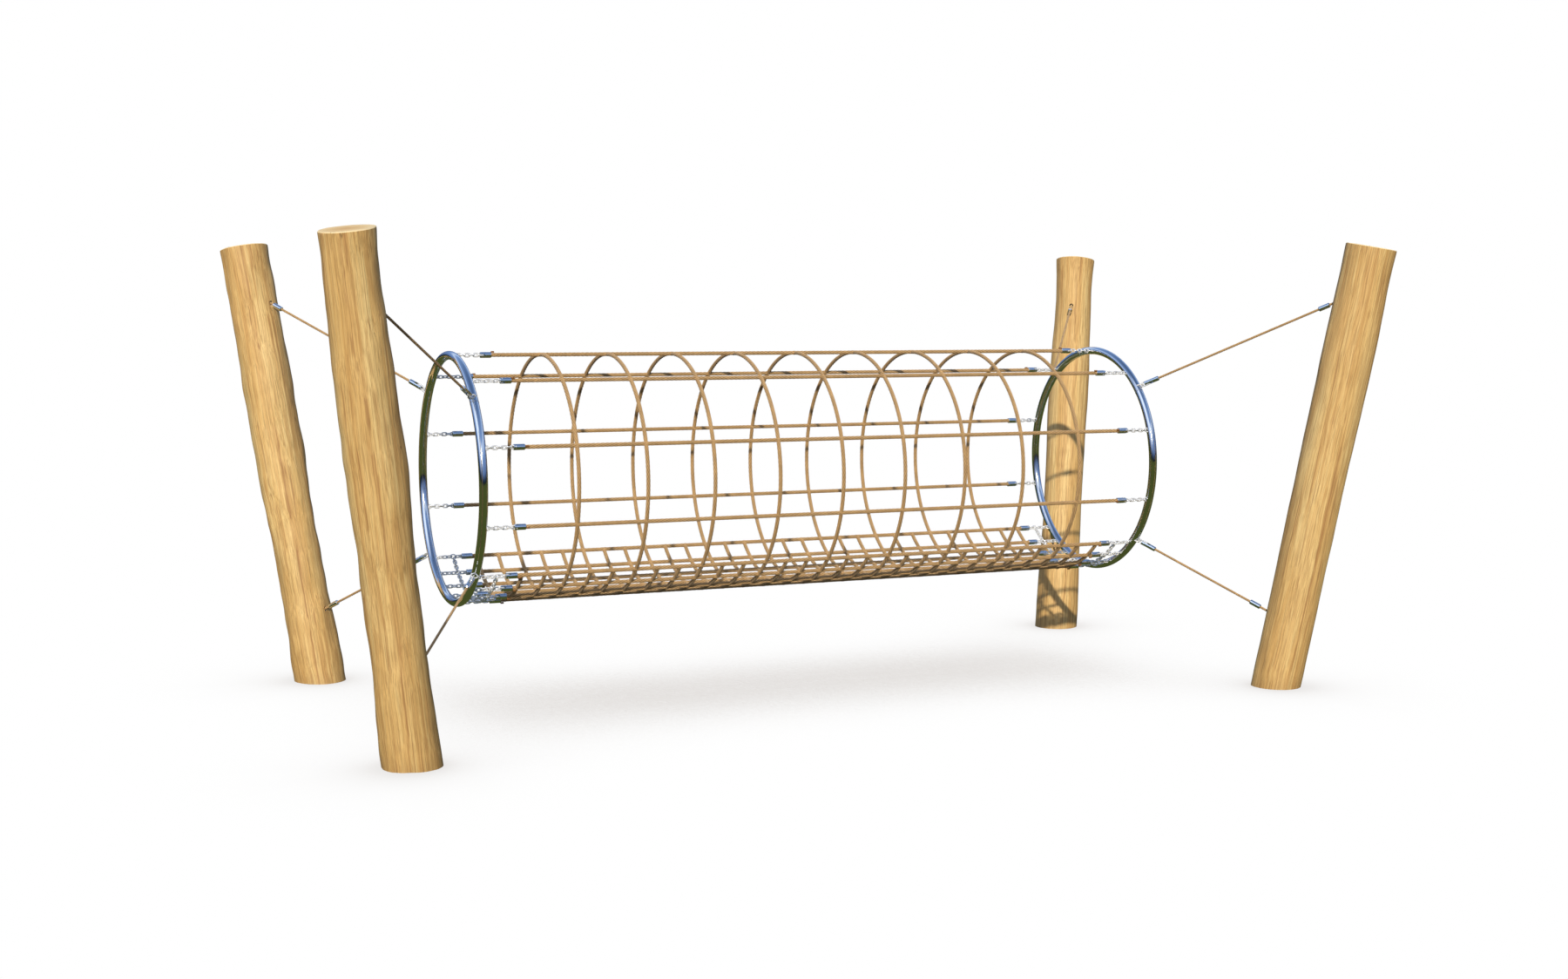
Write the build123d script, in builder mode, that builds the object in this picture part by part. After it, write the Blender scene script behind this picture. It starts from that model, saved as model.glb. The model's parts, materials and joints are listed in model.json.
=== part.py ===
"""Rope-net crawl tunnel hung between four leaning timber posts.

Units are millimetres, +Z is up and X runs along the tunnel. The origin is on the
ground, at the centre of the four posts. Two steel rings carry a net of steel-core
ropes, and eight rope stays hold each ring between the two posts at its end.
Angles round the tunnel are measured up from its far side, +Y.
"""

from build123d import *
import os
from math import cos, degrees, radians, sin

# ---------------------------------------------------------------- driving sizes
TUNNEL_HEIGHT = 919.0  # tunnel axis above the ground
NET_RADIUS = 483.0  # tunnel axis to the centre of every net rope and ring tube
RING_X = 1469.0  # middle of the tunnel to each ring
RING_TUBE_R = 16.85
RING_WALL = 2.6
WELD_WIDTH = 4.0
WELD_RISE = 0.5
WELD_ANGLE = 140.0

NET_ROPE_R = 8.0
HOOP_COUNT = 9
HOOP_PITCH = 275.4
SIDE_ROPES = {
    "top_rope": 90.0,
    "shoulder_rope_far": 54.0,
    "shoulder_rope_near": 126.0,
    "upper_side_rope_far": 18.0,
    "upper_side_rope_near": 162.0,
    "lower_side_rope_far": -18.0,
    "lower_side_rope_near": 198.0,
}
FLOOR_ROPES = 9
FLOOR_STEP = 11.0  # angle between floor ropes
CROSSES_PER_HOOP = 3  # floor net meshes along one hoop pitch
CROSSES_BEYOND = 2  # cross ropes outside each end hoop
CROSS_OVERHANG = 1.0  # angle by which a cross rope passes its last floor rope

TERMINAL_R = 11.5
TERMINAL_LENGTH = 44.0
TERMINAL_END_X = 1348.0  # fork end of each net rope's terminal
TERMINAL_BORE_DEPTH = 23.0
TERMINAL_SLOT = 7.0
TERMINAL_SLOT_DEPTH = 17.0
TERMINAL_PIN_R = 2.5
TERMINAL_PIN_SETBACK = 7.5  # fork end to pin axis
TAIL_R = 3.5
TAIL_LENGTH = 12.0
TAIL_OFFSET = 11.8  # rope axis to the axis of its cut tail

CHAIN_WIRE_R = 2.5
CHAIN_LENGTH = 18.0  # inside length of a link
CHAIN_WIDTH = 8.0  # inside width of a link
CHAIN_PLAY = 0.2  # gap where one link bears on the next
CHAIN_LINKS = 6
MESH_LINK = 2  # this link of a floor chain, counted from 0, is a round mesh ring
CROSS_LINKS = 5  # links between two mesh rings
CHAIN_LUG_R = 8.0

STAY_ROPE_R = 5.0
STAY_RING_ANGLE = 43.0  # stay lugs above and below the tunnel axis
STAY_LUG_WIRE_R = 3.0
STAY_LUG_R = 13.0
STAY_LUG_REACH = 28.85  # ring tube centre to the crown of the lug
LINK_WIRE_R = 3.0
LINK_LENGTH = 33.0
LINK_WIDTH = 12.0
LINK_PLAY = 0.3
JAW_R = 10.0
JAW_LENGTH = 66.0
JAW_SLOT = 10.0
JAW_SLOT_DEPTH = 38.0
JAW_BORE_DEPTH = 24.0
JAW_PIN_R = 4.0
JAW_PIN_REACH = 47.0  # ring tube centre to the jaw pin
JAW_PIN_SETBACK = 8.0  # tip of the jaw to the pin
SLEEVE_R = 10.0
SLEEVE_LENGTH = 48.0
LEVELS = {  # height where a stay aims at its post's axis, and post surface to sleeve
    "upper": (1656.0, 14.0),
    "lower": (270.0, 34.0),
}

BALL_R = 7.5
SOCKET_PLAY = 0.3
SOCKET_R = 10.0
SOCKET_LENGTH = 50.0
SOCKET_THROAT_R = 6.0
SOCKET_MOUTH_R = 8.0
BALL_DEPTH = 35.0  # socket mouth to ball centre
DRILL_LEAD = 40.0  # length of the drill outside the socket's mouth

POST_BASE = (1837.0, 873.0)
POST_TOP = (2078.0, 1115.0)
POST_START = -60.0  # each trunk is shaped from below the ground, then cut level with it
POST_EDGE = 3.0
POST_SHARES = (0.0, 0.17, 0.33, 0.5, 0.66, 0.82, 1.0)
POSTS = {  # side of the tunnel in x and y, height, and radius at each share of the length
    "near_left": (-1, -1, 1831.0, (102, 100, 94, 99, 101, 95, 95)),
    "far_left": (-1, 1, 1846.0, (98, 100, 97, 100, 102, 98, 102)),
    "near_right": (1, -1, 1837.0, (103, 100, 101, 101, 103, 103, 103)),
    "far_right": (1, 1, 1846.0, (102, 100, 94, 96, 98, 93, 98)),
}

ALONG = Vector(1, 0, 0)
ENDS = {"left": -1, "right": 1}
TUNNEL_AXIS = Axis((0, 0, TUNNEL_HEIGHT), (1, 0, 0))
UPWARD = (Align.CENTER, Align.CENTER, Align.MIN)
DOWNWARD = (Align.CENTER, Align.CENTER, Align.MAX)

os.makedirs("parts", exist_ok=True)


def write(builder, name):
    """Label the finished piece and write it to its own STEP file."""
    builder.part.label = name
    export_step(builder.part, f"parts/{name}.step")


def outward(angle):
    """Unit vector from the tunnel axis at an angle round the tunnel."""
    return Vector(0, cos(radians(angle)), sin(radians(angle)))


def on_net(x, angle):
    """Point on the net's cylinder."""
    return Vector(x, 0, TUNNEL_HEIGHT) + outward(angle) * NET_RADIUS


def radial_plane(angle, x=0.0):
    """Plane through the tunnel axis: its x axis is the tunnel's, its y axis is outward."""
    return Plane((x, 0, TUNNEL_HEIGHT), x_dir=ALONG, z_dir=ALONG.cross(outward(angle)))


# ---------------------------------------------------------------- stays and posts
def post_axis(sx, sy, height):
    """Ground point, unit direction and length of a post's axis."""
    foot = Vector(sx * POST_BASE[0], sy * POST_BASE[1], 0)
    head = Vector(sx * POST_TOP[0], sy * POST_TOP[1], height)
    return foot, (head - foot).normalized(), (head - foot).length


def trunk_radius(radii, share):
    """Trunk radius at a share of the post's length, between the two nearest sections."""
    after = next(i for i, s in enumerate(POST_SHARES) if s >= share and i > 0)
    low, high = POST_SHARES[after - 1], POST_SHARES[after]
    return radii[after - 1] + (radii[after] - radii[after - 1]) * (share - low) / (high - low)


class Stay:
    """A rope stay's line, from its ring to the post that it is anchored in."""

    def __init__(self, post, level):
        sx, sy, height, radii = POSTS[post]
        foot, up, length = post_axis(sx, sy, height)
        aim, self.sleeve_gap = LEVELS[level]
        lift = STAY_RING_ANGLE if level == "upper" else -STAY_RING_ANGLE
        self.start = on_net(sx * RING_X, lift if sy > 0 else 180 - lift)
        target = foot + up * (aim / up.Z)
        self.along = (target - self.start).normalized()
        pin = self.start + self.along * JAW_PIN_REACH
        travel = Vector(0, TUNNEL_HEIGHT - pin.Z, pin.Y)
        self.pin_dir = travel.cross(self.along).normalized()
        slope = self.along.get_angle(up)
        cover = trunk_radius(radii, aim / up.Z / length) / sin(radians(slope))
        self.surface = (target - self.start).length - cover
        self.mouth = self.surface + SOCKET_R * abs(cos(radians(slope))) / sin(radians(slope))
        self.ball = self.mouth + BALL_DEPTH

    def plane(self, distance):
        """Plane square to the stay, that far from the ring tube's centre."""
        return Plane(self.start + self.along * distance, x_dir=self.pin_dir, z_dir=self.along)

    def edge_plane(self, distance):
        """Plane along the stay and square to its jaw pin."""
        return Plane(self.start + self.along * distance, x_dir=self.along, z_dir=self.pin_dir)


STAYS = {f"{post}_{level}": Stay(post, level) for post in POSTS for level in LEVELS}

with BuildPart() as socket_solid:
    with BuildSketch(Plane.XZ):
        Polygon(
            (SOCKET_THROAT_R, BALL_DEPTH),
            (SOCKET_MOUTH_R, 0),
            (SOCKET_R, 0),
            (SOCKET_R, SOCKET_LENGTH),
            (0, SOCKET_LENGTH),
            (0, BALL_DEPTH),
            align=None,
        )
    revolve(axis=Axis.Z)
    with Locations((0, 0, BALL_DEPTH)):
        Sphere(BALL_R + SOCKET_PLAY, mode=Mode.SUBTRACT)

for post, (sx, sy, height, radii) in POSTS.items():
    foot, up, length = post_axis(sx, sy, height)
    trunk_plane = Plane(foot, x_dir=(0, 1, 0), z_dir=up)
    mouths = [STAYS[f"{post}_{level}"] for level in LEVELS]
    with BuildPart() as trunk:
        for share, radius in zip(POST_SHARES, radii):
            with BuildSketch(trunk_plane.offset(POST_START + share * (length - POST_START))):
                Circle(radius)
        loft()
        split(bisect_by=Plane.XY, keep=Keep.TOP)
        chamfer(trunk.faces().sort_by(Axis.Z)[-1].edges(), length=POST_EDGE)
        with Locations(*[stay.plane(stay.mouth - DRILL_LEAD) for stay in mouths]):
            Cylinder(SOCKET_R, DRILL_LEAD + SOCKET_LENGTH, align=UPWARD, mode=Mode.SUBTRACT)
    write(trunk, f"post_{post}")

    with BuildPart() as sockets:
        with Locations(*[stay.plane(stay.mouth) for stay in mouths]):
            add(socket_solid.part)
    write(sockets, f"stay_sockets_{post}")

with BuildPart() as jaw_solid:
    Cylinder(JAW_R, JAW_LENGTH, align=UPWARD)
    chamfer(jaw_solid.edges().group_by(Axis.Z)[-1], length=2.5)
    Box(JAW_SLOT, 3 * JAW_R, JAW_SLOT_DEPTH, align=UPWARD, mode=Mode.SUBTRACT)
    with Locations((0, 0, JAW_LENGTH)):
        Cylinder(STAY_ROPE_R, JAW_BORE_DEPTH, align=DOWNWARD, mode=Mode.SUBTRACT)
    with Locations((0, 0, JAW_PIN_SETBACK)):
        Cylinder(JAW_PIN_R, 3 * JAW_R, rotation=(0, 90, 0), mode=Mode.SUBTRACT)

with BuildPart() as jaw_pin_solid:
    Cylinder(JAW_PIN_R, 2 * JAW_R, rotation=(0, 90, 0))
    chamfer(jaw_pin_solid.edges().filter_by(GeomType.CIRCLE), length=0.8)

with BuildPart() as sleeve_solid:
    Cylinder(SLEEVE_R, SLEEVE_LENGTH, align=UPWARD)
    chamfer(sleeve_solid.edges().filter_by(GeomType.CIRCLE), length=2.0)
    Cylinder(STAY_ROPE_R, SLEEVE_LENGTH, align=UPWARD, mode=Mode.SUBTRACT)

with BuildPart() as ball_solid:
    Sphere(BALL_R)
    Cylinder(STAY_ROPE_R, 2 * BALL_R, align=DOWNWARD, mode=Mode.SUBTRACT)

JAW_TIP = JAW_PIN_REACH - JAW_PIN_SETBACK
STAY_ROPE_START = JAW_TIP + JAW_LENGTH - JAW_BORE_DEPTH
for name, stay in STAYS.items():
    with BuildPart() as stay_rope:
        with BuildSketch(stay.plane(STAY_ROPE_START)):
            Circle(STAY_ROPE_R)
        extrude(amount=stay.ball - STAY_ROPE_START)
    write(stay_rope, f"stay_rope_{name}")

    with BuildPart() as fittings:
        with Locations(stay.plane(JAW_TIP)):
            add(jaw_solid.part)
        with Locations(stay.plane(JAW_PIN_REACH)):
            add(jaw_pin_solid.part)
        with Locations(stay.plane(stay.surface - stay.sleeve_gap - SLEEVE_LENGTH)):
            add(sleeve_solid.part)
        with Locations(stay.plane(stay.ball)):
            add(ball_solid.part)
    write(fittings, f"stay_fittings_{name}")
    print(f"stay {name}: rope {stay.ball - STAY_ROPE_START:.1f} mm")

# ---------------------------------------------------------------- ropes of the net
HOOP_XS = [(i - (HOOP_COUNT - 1) / 2) * HOOP_PITCH for i in range(HOOP_COUNT)]
for number, x in enumerate(HOOP_XS, start=1):
    with BuildPart() as hoop:
        with BuildSketch(radial_plane(90)):
            with Locations((x, NET_RADIUS)):
                Circle(NET_ROPE_R)
        revolve(axis=TUNNEL_AXIS)
    write(hoop, f"hoop_rope_{number}")

ROPE_HALF_LENGTH = TERMINAL_END_X - TERMINAL_LENGTH + TERMINAL_BORE_DEPTH
FLOOR_FIRST = -90 - FLOOR_STEP * (FLOOR_ROPES - 1) / 2
FLOOR_ANGLES = [FLOOR_FIRST + i * FLOOR_STEP for i in range(FLOOR_ROPES)]


def long_rope(name, angles):
    """Lengthwise net ropes at the given angles, in one node."""
    with BuildPart() as rope:
        with BuildSketch(*[Plane(on_net(-ROPE_HALF_LENGTH, a), z_dir=ALONG) for a in angles]):
            Circle(NET_ROPE_R)
        extrude(amount=2 * ROPE_HALF_LENGTH)
    write(rope, name)


for name, angle in SIDE_ROPES.items():
    long_rope(name, [angle])
long_rope("floor_ropes", FLOOR_ANGLES)

CROSS_PITCH = HOOP_PITCH / CROSSES_PER_HOOP
CROSS_REACH = CROSSES_PER_HOOP * (HOOP_COUNT - 1) // 2 + CROSSES_BEYOND
CROSS_NUMBERS = [n for n in range(-CROSS_REACH, CROSS_REACH + 1)]
HOOP_NUMBERS = [round(x / CROSS_PITCH) for x in HOOP_XS]
with BuildPart() as cross_ropes:
    with BuildSketch(radial_plane(FLOOR_FIRST - CROSS_OVERHANG)):
        with Locations(*[(n * CROSS_PITCH, NET_RADIUS) for n in CROSS_NUMBERS if n not in HOOP_NUMBERS]):
            Circle(NET_ROPE_R)
    revolve(axis=TUNNEL_AXIS, revolution_arc=FLOOR_STEP * (FLOOR_ROPES - 1) + 2 * CROSS_OVERHANG)
write(cross_ropes, "floor_cross_ropes")

# ---------------------------------------------------------------- rope ends and chains
with BuildPart() as terminal_solid:
    Cylinder(TERMINAL_R, TERMINAL_LENGTH, align=UPWARD)
    chamfer(terminal_solid.edges().filter_by(GeomType.CIRCLE), length=1.5)
    Cylinder(NET_ROPE_R, TERMINAL_BORE_DEPTH, align=UPWARD, mode=Mode.SUBTRACT)
    with Locations((0, 0, TERMINAL_LENGTH)):
        Box(
            TERMINAL_SLOT,
            3 * TERMINAL_R,
            TERMINAL_SLOT_DEPTH,
            align=DOWNWARD,
            mode=Mode.SUBTRACT,
        )
    with Locations((0, 0, TERMINAL_LENGTH - TERMINAL_PIN_SETBACK)):
        Cylinder(TERMINAL_PIN_R, 3 * TERMINAL_R, rotation=(0, 90, 0), mode=Mode.SUBTRACT)

with BuildPart() as terminal_pin_solid:
    Cylinder(TERMINAL_PIN_R, 2 * TERMINAL_R, rotation=(0, 90, 0))


def chain_link(inner_length, inner_width, wire_r):
    """Closed link of round wire, lying in the XY plane along X, centred on the origin."""
    bend = inner_width / 2 + wire_r
    half = (inner_length - inner_width) / 2
    with BuildPart() as link:
        with BuildLine() as path:
            top = Line((-half, bend), (half, bend))
            right = ThreePointArc(top @ 1, (half + bend, 0), (half, -bend))
            bottom = Line(right @ 1, (-half, -bend))
            ThreePointArc(bottom @ 1, (-half - bend, 0), top @ 0)
        with BuildSketch(Plane(top @ 0.5, z_dir=ALONG)):
            Circle(wire_r)
        sweep(path=path.wires()[0])
    return link.part


def lug(bend_r, wire_r, leg):
    """Bent wire eye with two legs, its crown at the origin and its legs along -X."""
    with BuildPart() as eye:
        with BuildLine() as path:
            Line((-bend_r - leg, bend_r), (-bend_r, bend_r))
            ThreePointArc((-bend_r, bend_r), (0, 0), (-bend_r, -bend_r))
            Line((-bend_r, -bend_r), (-bend_r - leg, -bend_r))
        with BuildSketch(Plane((-bend_r - leg, bend_r, 0), z_dir=ALONG)):
            Circle(wire_r)
        sweep(path=path.wires()[0])
    return eye.part


LINK_PITCH = CHAIN_LENGTH - CHAIN_PLAY
CHAIN_START = TERMINAL_END_X - TERMINAL_PIN_SETBACK - TERMINAL_PIN_R - CHAIN_PLAY
LINK_XS = [CHAIN_START + k * LINK_PITCH + CHAIN_LENGTH / 2 for k in range(CHAIN_LINKS)]
CHAIN_LUG_X = LINK_XS[-1] + CHAIN_LENGTH / 2 - CHAIN_PLAY - CHAIN_WIRE_R
CHAIN_LUG_LEG = RING_X - CHAIN_LUG_X - CHAIN_LUG_R - RING_TUBE_R / 2
MESH_RING_R = CHAIN_LENGTH / 2 + CHAIN_WIRE_R
FLOOR_CHORD = 2 * NET_RADIUS * sin(radians(FLOOR_STEP / 2))
CROSS_START = CHAIN_LENGTH / 2 - CHAIN_PLAY
CROSS_LENGTH = (FLOOR_CHORD - 2 * CROSS_START + (CROSS_LINKS - 1) * CHAIN_PLAY) / CROSS_LINKS

link_solid = chain_link(CHAIN_LENGTH, CHAIN_WIDTH, CHAIN_WIRE_R)
cross_link_solid = chain_link(CROSS_LENGTH, CHAIN_WIDTH, CHAIN_WIRE_R)
stay_link_solid = chain_link(LINK_LENGTH, LINK_WIDTH, LINK_WIRE_R)
chain_lug_solid = lug(CHAIN_LUG_R, CHAIN_WIRE_R, CHAIN_LUG_LEG)
stay_lug_solid = lug(STAY_LUG_R, STAY_LUG_WIRE_R, STAY_LUG_REACH - STAY_LUG_R)
LUG_INSIDE = STAY_LUG_WIRE_R + LINK_PLAY + 2 * LINK_WIRE_R  # lug crown to the link's inner end
ROPE_ANGLES = [*SIDE_ROPES.values(), *FLOOR_ANGLES]
WELD_ARC = degrees(WELD_WIDTH / NET_RADIUS)


def chain_planes(side, angle, numbers):
    """Planes of a lengthwise chain's links: they lie flat on the net or stand on edge."""
    planes = []
    for k in numbers:
        flat = outward(angle)
        normal = flat if k % 2 == 0 else ALONG.cross(flat)
        planes.append(Plane(on_net(side * LINK_XS[k], angle), x_dir=ALONG * side, z_dir=normal))
    return planes


def cross_planes(side, angle):
    """Planes of the cross links between the mesh rings at this angle and the next."""
    here = on_net(side * LINK_XS[MESH_LINK], angle)
    step = (on_net(here.X, angle + FLOOR_STEP) - here).normalized()
    planes = []
    for k in range(CROSS_LINKS):
        reach = CROSS_START + k * (CROSS_LENGTH - CHAIN_PLAY) + CROSS_LENGTH / 2
        normal = ALONG if k % 2 == 0 else ALONG.cross(step)
        planes.append(Plane(here + step * reach, x_dir=step, z_dir=normal))
    return planes


for end, side in ENDS.items():
    stays = [s for s in STAYS.values() if s.start.X * side > 0]

    with BuildPart() as ring:
        with BuildSketch(radial_plane(WELD_ANGLE + WELD_ARC / 2)):
            with Locations((side * RING_X, NET_RADIUS)):
                Circle(RING_TUBE_R)
                Circle(RING_TUBE_R - RING_WALL, mode=Mode.SUBTRACT)
        revolve(axis=TUNNEL_AXIS, revolution_arc=360 - WELD_ARC)
    write(ring, f"ring_{end}")

    with BuildPart() as weld:
        with BuildSketch(radial_plane(WELD_ANGLE - WELD_ARC / 2)):
            with Locations((side * RING_X, NET_RADIUS)):
                Circle(RING_TUBE_R + WELD_RISE)
                Circle(RING_TUBE_R - RING_WALL, mode=Mode.SUBTRACT)
        revolve(axis=TUNNEL_AXIS, revolution_arc=WELD_ARC)
    write(weld, f"ring_weld_{end}")

    with BuildPart() as lugs:
        for angle in ROPE_ANGLES:
            with Locations(Plane(on_net(side * CHAIN_LUG_X, angle), x_dir=ALONG * -side, z_dir=outward(angle))):
                add(chain_lug_solid)
        for stay in stays:
            crown = stay.start + stay.along * STAY_LUG_REACH
            with Locations(Plane(crown, x_dir=stay.along, z_dir=stay.along.cross(stay.pin_dir))):
                add(stay_lug_solid)
        with BuildSketch(radial_plane(0)):
            with Locations((side * RING_X, NET_RADIUS)):
                Circle(RING_TUBE_R)
        revolve(axis=TUNNEL_AXIS, mode=Mode.SUBTRACT)
    write(lugs, f"ring_lugs_{end}")

    with BuildPart() as stay_links:
        reach = STAY_LUG_REACH - LUG_INSIDE + 2 * LINK_WIRE_R + LINK_LENGTH / 2
        with Locations(*[stay.edge_plane(reach) for stay in stays]):
            add(stay_link_solid)
    write(stay_links, f"stay_links_{end}")

    rope_end = side * (TERMINAL_END_X - TERMINAL_LENGTH)
    pin_x = side * (TERMINAL_END_X - TERMINAL_PIN_SETBACK)
    with BuildPart() as terminals:
        for angle in ROPE_ANGLES:
            with Locations(Plane(on_net(rope_end, angle), x_dir=outward(angle), z_dir=ALONG * side)):
                add(terminal_solid.part)
    write(terminals, f"rope_terminals_{end}")

    with BuildPart() as pins:
        for angle in ROPE_ANGLES:
            with Locations(Plane(on_net(pin_x, angle), x_dir=outward(angle), z_dir=ALONG * side)):
                add(terminal_pin_solid.part)
    write(pins, f"terminal_pins_{end}")

    with BuildPart() as tails:
        for angle in ROPE_ANGLES:
            tail_end = on_net(rope_end - side * TAIL_LENGTH, angle) + outward(angle) * TAIL_OFFSET
            with Locations(Plane(tail_end, z_dir=ALONG * side)):
                Cylinder(TAIL_R, TAIL_LENGTH, align=UPWARD)
    write(tails, f"rope_tails_{end}")

    numbers = range(CHAIN_LINKS)
    floor_numbers = [k for k in numbers if k != MESH_LINK]
    with BuildPart() as chains:
        for angle in SIDE_ROPES.values():
            with Locations(*chain_planes(side, angle, numbers)):
                add(link_solid)
        for angle in FLOOR_ANGLES:
            with Locations(*chain_planes(side, angle, floor_numbers)):
                add(link_solid)
    write(chains, f"end_chains_{end}")

    with BuildPart() as mesh:
        for angle in FLOOR_ANGLES:
            with Locations(*chain_planes(side, angle, [MESH_LINK])):
                Torus(MESH_RING_R, CHAIN_WIRE_R)
        for angle in FLOOR_ANGLES[:-1]:
            with Locations(*cross_planes(side, angle)):
                add(cross_link_solid)
    write(mesh, f"floor_chain_mesh_{end}")
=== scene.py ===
"""Looks of the rope-net crawl tunnel: wood, rope, polished steel, studio and camera.

Metres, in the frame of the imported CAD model. Places come from the CAD nodes.
"""

import json
import math
import bpy
import numpy as np
from mathutils import Matrix, Quaternion, Vector, noise
from mathutils.bvhtree import BVHTree


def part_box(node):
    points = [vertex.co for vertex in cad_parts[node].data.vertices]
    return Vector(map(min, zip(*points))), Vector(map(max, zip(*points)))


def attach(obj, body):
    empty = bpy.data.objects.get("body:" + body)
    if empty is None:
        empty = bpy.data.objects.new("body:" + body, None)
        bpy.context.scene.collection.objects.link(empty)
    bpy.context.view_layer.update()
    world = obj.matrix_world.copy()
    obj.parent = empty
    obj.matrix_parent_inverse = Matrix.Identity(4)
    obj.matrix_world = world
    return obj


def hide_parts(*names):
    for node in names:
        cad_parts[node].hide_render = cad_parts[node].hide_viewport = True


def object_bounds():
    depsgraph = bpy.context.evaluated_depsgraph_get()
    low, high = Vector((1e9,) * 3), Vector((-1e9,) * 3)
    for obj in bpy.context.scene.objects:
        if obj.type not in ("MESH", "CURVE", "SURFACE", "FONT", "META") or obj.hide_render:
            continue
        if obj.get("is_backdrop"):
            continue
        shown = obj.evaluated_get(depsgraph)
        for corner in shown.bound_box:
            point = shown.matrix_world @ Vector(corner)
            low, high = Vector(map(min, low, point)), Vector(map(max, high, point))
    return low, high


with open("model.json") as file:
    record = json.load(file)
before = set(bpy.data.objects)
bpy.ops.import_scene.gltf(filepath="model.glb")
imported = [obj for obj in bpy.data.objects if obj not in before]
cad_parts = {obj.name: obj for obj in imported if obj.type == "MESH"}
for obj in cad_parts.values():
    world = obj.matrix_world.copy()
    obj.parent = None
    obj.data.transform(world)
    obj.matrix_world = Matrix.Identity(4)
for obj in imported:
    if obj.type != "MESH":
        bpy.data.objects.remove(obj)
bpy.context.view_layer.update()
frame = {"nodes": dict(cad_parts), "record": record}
RECORD = frame["record"]
BODY_OF = {n: b for b, ns in RECORD["behaviour"]["bodies"].items() for n in ns}

# ---------------------------------------------------------------- driving sizes
STRANDS = 6
POINTS_PER_STRAND = 6
GROOVE = 0.71  # radius at the bottom of the groove between strands, as a share
CREST_ROUNDING = 0.55  # power of the sine that shapes a strand's crest
LAY = 6.8  # rope diameters to one full turn of a strand
ROPE_STEP = 0.38  # rope diameters between sections
KNOT_SWELL = 0.10  # how much a rope swells where another passes through it
KNOT_LENGTH = 0.9  # and over how many rope diameters
HOOP_SEAM = math.radians(-92.5)  # where a hoop rope's sections begin and end, under the tunnel
CROSS_TRIM = math.radians(0.9)  # a cross rope stops inside its last floor rope
FLOOR_ROPE_GAP = math.radians(3)  # angles closer than this belong to one floor rope
POST_COLUMNS = 112
POST_ROWS = 230
POST_WAVE = 0.0046  # heights of a trunk's bends, lumps and flutes
POST_LUMP = 0.0016
POST_FLUTE = 0.0016
POST_UNEVEN = {  # each trunk's share of the bends and lumps
    "post_far_left": 2.3,
    "post_near_left": 1.7,
    "post_near_right": 0.7,
    "post_far_right": 0.8,
}
TOP_CHAMFER = 0.003
CAP_RINGS = (0.03, 0.06, 0.2, 0.4, 0.6, 0.8, 0.95)  # rings of the sawn top, from its edge in
SAW_ROUGHNESS = 0.0006
PROBES = 16  # directions in which a trunk's radius is read
PROBE_ROWS = 28  # and heights
PROBE_START = 0.3  # from how far off its axis
PROBE_LOW = 0.05  # the lowest height, and how far the highest stays below the top
PROBE_TOP = 0.01
BORE_LEAD = 0.12  # how far a bore's drill begins outside the socket
BORE_SIDES = 64
SOCKET_REACH = 0.08  # a socket's points lie this close to its stay's ball
WOOD_CREASE = math.radians(38)  # a sharper edge of a trunk is shaded as an edge
GROWTH_RING = 0.0042
SEED = 7

# ---------------------------------------------------------------- light and camera
FLOOR_HALF = 40  # half the floor's side
FLOOR_BOUNCE = (0.06, 0.06, 0.04)  # the lawn as light off it, and as the steel mirrors it
FLOOR_MIRRORED = (0.072, 0.088, 0.022)
# painted floor shadow: the floor's glow colour by how open the sky is over each spot
FLOOR_SHADES = [(0.0, (0.36, 0.34, 0.32)), (0.70, (0.64, 0.60, 0.57)), (0.93, (1, 1, 1))]
FLOOR_REACH = 1.1  # how far away a thing still shades the floor
FLOOR_FAINT = 0.62  # how much fainter the shadow is away from the tunnel
FLOOR_FADE = 0.65  # and over what distance it gets there
SKY_STOPS = [  # what the steel mirrors, from straight down to straight up
    (0.00, FLOOR_MIRRORED),
    (0.49, (0.030, 0.036, 0.012)),
    (0.50, (0.004, 0.006, 0.010)),
    (0.53, (0.030, 0.052, 0.100)),
    (0.57, (0.120, 0.200, 0.400)),
    (0.68, (0.200, 0.340, 0.640)),
    (0.75, (0.640, 0.780, 1.000)),
    (0.80, (0.220, 0.360, 0.660)),
    (1.00, (0.080, 0.140, 0.280)),
]
BRIGHT_SIDE = Vector((-0.75, -0.35, 0.62)).normalized()
GLOW_COLOUR = (0.95, 1.10, 1.35)
FILL_STOPS = [  # the light on everything else, likewise
    (0.0, (0.03, 0.03, 0.03)),
    (0.5, (0.15, 0.18, 0.24)),
    (0.75, (0.37, 0.43, 0.56)),
    (1.0, (0.72, 0.80, 0.94)),
]
FILL_SHADY = (0.05, 0.065, 0.08)
KEY_TRAVEL, KEY_STRENGTH, KEY_SPREAD = (0.42, 0.85, -0.39), 2.95, 1.0
KEY_COLOUR = (1.0, 0.90, 0.72)
CAMERA_PLACE = (-3.300, -7.386, 1.535)
CAMERA_AZIMUTH, CAMERA_PITCH = 23.76, -5.007
CAMERA_LENS, CAMERA_SENSOR = 44.19, 36.0  # mm
CAMERA_CLIP = 200


# ---------------------------------------------------------------- places
def node_points(node):
    """Every vertex of a CAD node, as an array."""
    mesh = frame["nodes"][node].data
    points = np.zeros(len(mesh.vertices) * 3)
    mesh.vertices.foreach_get("co", points)
    return points.reshape(-1, 3)


def clusters(values, gap):
    """(low, high) of each run of values that lie closer together than the gap."""
    values = np.unique(np.round(values, 5))
    breaks = np.flatnonzero(np.diff(values) > gap)
    lows = np.r_[values[0], values[breaks + 1]]
    highs = np.r_[values[breaks], values[-1]]
    return list(zip(lows, highs))


def centre_and_half(node):
    """Centre and half sizes of a CAD node's box."""
    low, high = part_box(node)
    return (low + high) / 2, (high - low) / 2


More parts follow.
